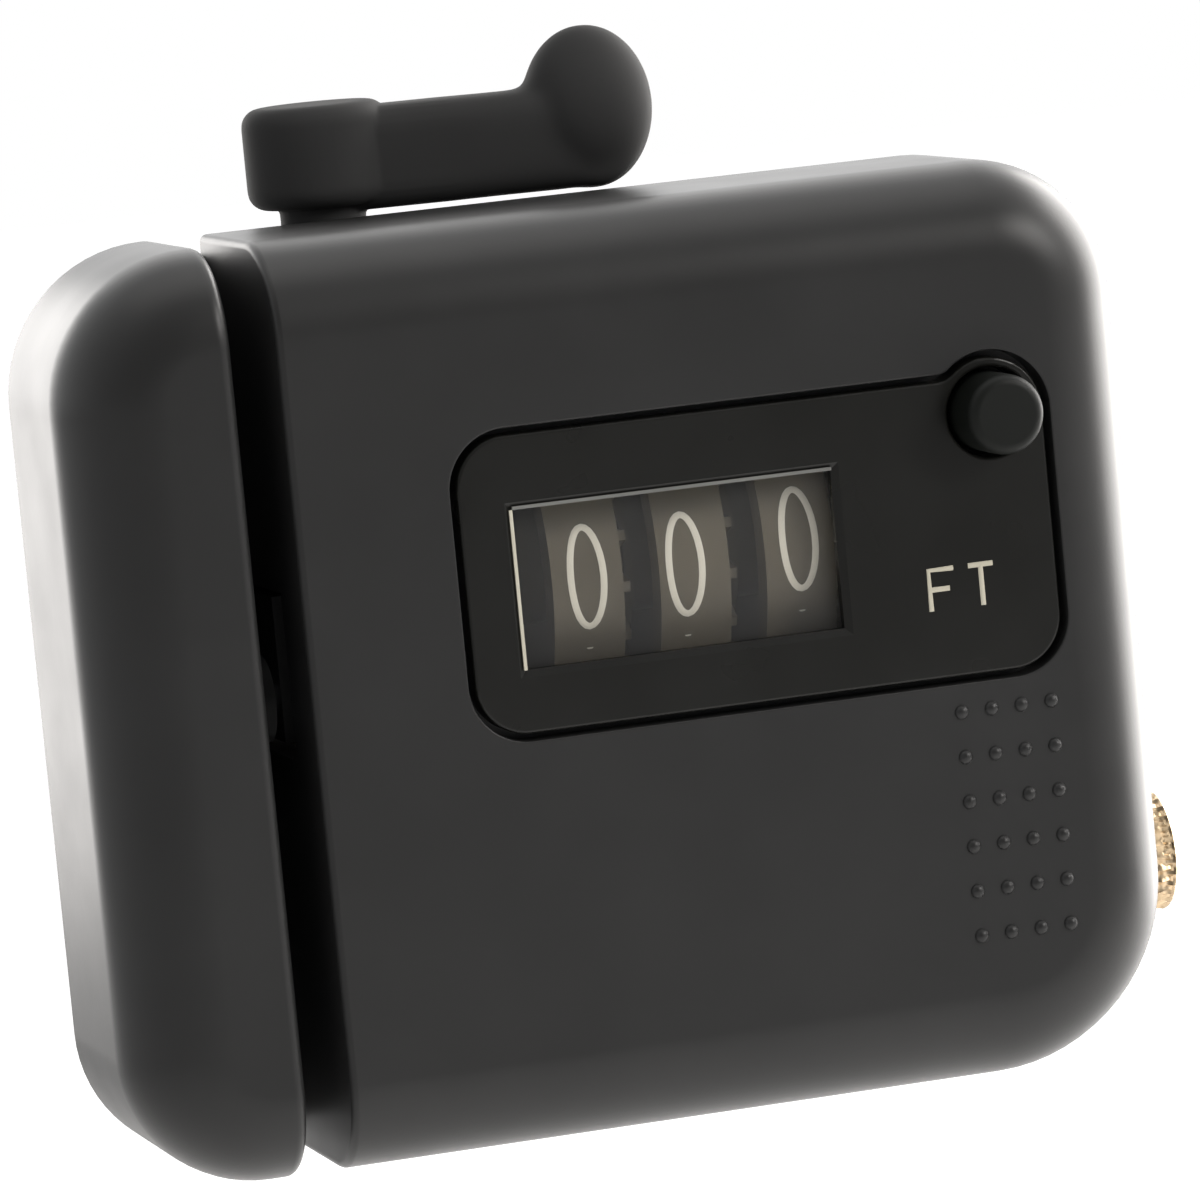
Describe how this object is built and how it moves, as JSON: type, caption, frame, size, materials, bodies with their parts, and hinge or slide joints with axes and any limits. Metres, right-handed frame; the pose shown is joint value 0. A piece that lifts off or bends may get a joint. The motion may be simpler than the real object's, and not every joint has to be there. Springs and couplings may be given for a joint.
{
  "type": "fishing line counter",
  "caption": "Rod-mounted fishing line counter: a rounded case with a line slot, digit wheels behind a window, a gate lever on top, a reset button and a screw clamp for the rod.",
  "frame": {"origin": "middle of the rod clamp, on the axis of the clamped rod", "axes": "+Z along the rod and up the case, +X to the right seen from the digits, +Y from the digits to the back"},
  "size_m": [0.0747, 0.0454, 0.0626],
  "materials": {
    "case_plastic": "satin charcoal",
    "clamp_plastic": "fine grained",
    "panel_plastic": "gloss black",
    "button_plastic": "semi-gloss black",
    "lens": "clear",
    "digit_plastic": "brown grey with ivory numerals",
    "gear_plastic": "natural nylon",
    "steel": "bright",
    "brass": "knurled",
    "rubber": "matt"
  },
  "bodies": {
    "root": {"front_case": "case_plastic", "line_guard": "case_plastic", "rear_case": "case_plastic", "counter_bezel": "panel_plastic", "window_lens": "lens", "counter_shaft": "steel", "pinion_shaft": "steel", "left_frame_plate": "steel", "right_frame_plate": "steel", "frame_posts": "steel", "frame_screws": "steel", "wheel_bushes": "brass", "transfer_arbor": "steel", "button_spring": "steel", "case_screws": "steel", "clamp_saddle": "clamp_plastic", "saddle_screws": "steel", "fixed_pad": "rubber", "thread_bush": "brass"},
    "lever": {"lever": "case_plastic", "lever_shaft": "steel", "gate_arm": "clamp_plastic", "roller_pin": "steel", "gate_spring": "steel"},
    "idler": {"idler_roller": "clamp_plastic"},
    "wheel": {"measuring_wheel": "gear_plastic", "wheel_tyre": "rubber", "wheel_shaft": "steel", "wheel_pinion": "gear_plastic"},
    "lay_train": {"lay_gear": "gear_plastic", "lay_shaft": "steel", "lay_pinion": "gear_plastic"},
    "transfer": {"transfer_gear": "gear_plastic"},
    "units": {"units_wheel": "digit_plastic", "units_gear": "gear_plastic"},
    "tens": {"tens_wheel": "digit_plastic"},
    "hundreds": {"hundreds_wheel": "digit_plastic"},
    "tens_carry": {"tens_pinion": "gear_plastic"},
    "hundreds_carry": {"hundreds_pinion": "gear_plastic"},
    "button": {"reset_button": "button_plastic"},
    "rocker": {"reset_arm": "steel", "reset_bar": "steel", "rocker_shaft": "steel"},
    "jaw": {"moving_jaw": "clamp_plastic", "moving_pad": "rubber", "jaw_clip": "steel"},
    "screw": {"thumb_screw": "brass"}
  },
  "joints": [
    {"name": "lever_swing", "type": "hinge", "parent": "root", "child": "lever", "pos_m": [-0.0166, -0.0165, 0.0474], "axis": [0, 0, 1], "range_deg": [0, 40]},
    {"name": "wheel_spin", "type": "hinge", "parent": "root", "child": "wheel", "pos_m": [-0.0263, -0.0165, 0.02], "axis": [1, 0, 0], "continuous": true},
    {"name": "roller_spin", "type": "hinge", "parent": "lever", "child": "idler", "pos_m": [-0.0263, -0.0254, 0.02], "axis": [1, 0, 0], "continuous": true},
    {"name": "lay_spin", "type": "hinge", "parent": "root", "child": "lay_train", "pos_m": [-0.0263, -0.01751, 0.01206], "axis": [1, 0, 0], "continuous": true},
    {"name": "transfer_spin", "type": "hinge", "parent": "root", "child": "transfer", "pos_m": [0.00465, -0.02444, 0.01606], "axis": [1, 0, 0], "continuous": true},
    {"name": "units_spin", "type": "hinge", "parent": "root", "child": "units", "pos_m": [0.00465, -0.0234, 0.0256], "axis": [1, 0, 0], "continuous": true},
    {"name": "tens_spin", "type": "hinge", "parent": "root", "child": "tens", "pos_m": [0.00465, -0.0234, 0.0256], "axis": [1, 0, 0], "continuous": true},
    {"name": "hundreds_spin", "type": "hinge", "parent": "root", "child": "hundreds", "pos_m": [0.00465, -0.0234, 0.0256], "axis": [1, 0, 0], "continuous": true},
    {"name": "tens_carry_spin", "type": "hinge", "parent": "root", "child": "tens_carry", "pos_m": [0.00465, -0.01435, 0.03375], "axis": [1, 0, 0], "continuous": true},
    {"name": "hundreds_carry_spin", "type": "hinge", "parent": "root", "child": "hundreds_carry", "pos_m": [0.00465, -0.01435, 0.03375], "axis": [1, 0, 0], "continuous": true},
    {"name": "button_push", "type": "slide", "parent": "root", "child": "button", "axis": [0, 1, 0], "range_m": [0, 0.0022], "stiffness_N_per_m": 150, "springref_m": -0.001, "deforming": ["button_spring"]},
    {"name": "reset_rock", "type": "hinge", "parent": "root", "child": "rocker", "pos_m": [0.00465, -0.0235, 0.0389], "axis": [1, 0, 0], "range_deg": [-1, 21]},
    {"name": "screw_turn", "type": "hinge", "parent": "jaw", "child": "screw", "pos_m": [0, 0, 0], "axis": [1, 0, 0], "range_deg": [-1029, 3086]},
    {"name": "jaw_slide", "type": "slide", "parent": "root", "child": "jaw", "axis": [1, 0, 0], "range_m": [-0.002, 0.006]}
  ],
  "couplings": [
    {"joint": "roller_spin", "follows": "wheel_spin", "ratio": -2.426},
    {"joint": "lay_spin", "follows": "wheel_spin", "ratio": -0.25},
    {"joint": "transfer_spin", "follows": "wheel_spin", "ratio": 0.0625},
    {"joint": "units_spin", "follows": "wheel_spin", "ratio": -0.0125},
    {"joint": "tens_spin", "follows": "wheel_spin", "ratio": -0.00125},
    {"joint": "hundreds_spin", "follows": "wheel_spin", "ratio": -0.000125},
    {"joint": "tens_carry_spin", "follows": "wheel_spin", "ratio": 0.003125},
    {"joint": "hundreds_carry_spin", "follows": "wheel_spin", "ratio": 0.0003125},
    {"joint": "reset_rock", "follows": "button_push", "rad_per_m": 156.25},
    {"joint": "screw_turn", "follows": "jaw_slide", "rad_per_m": 8976}
  ]
}
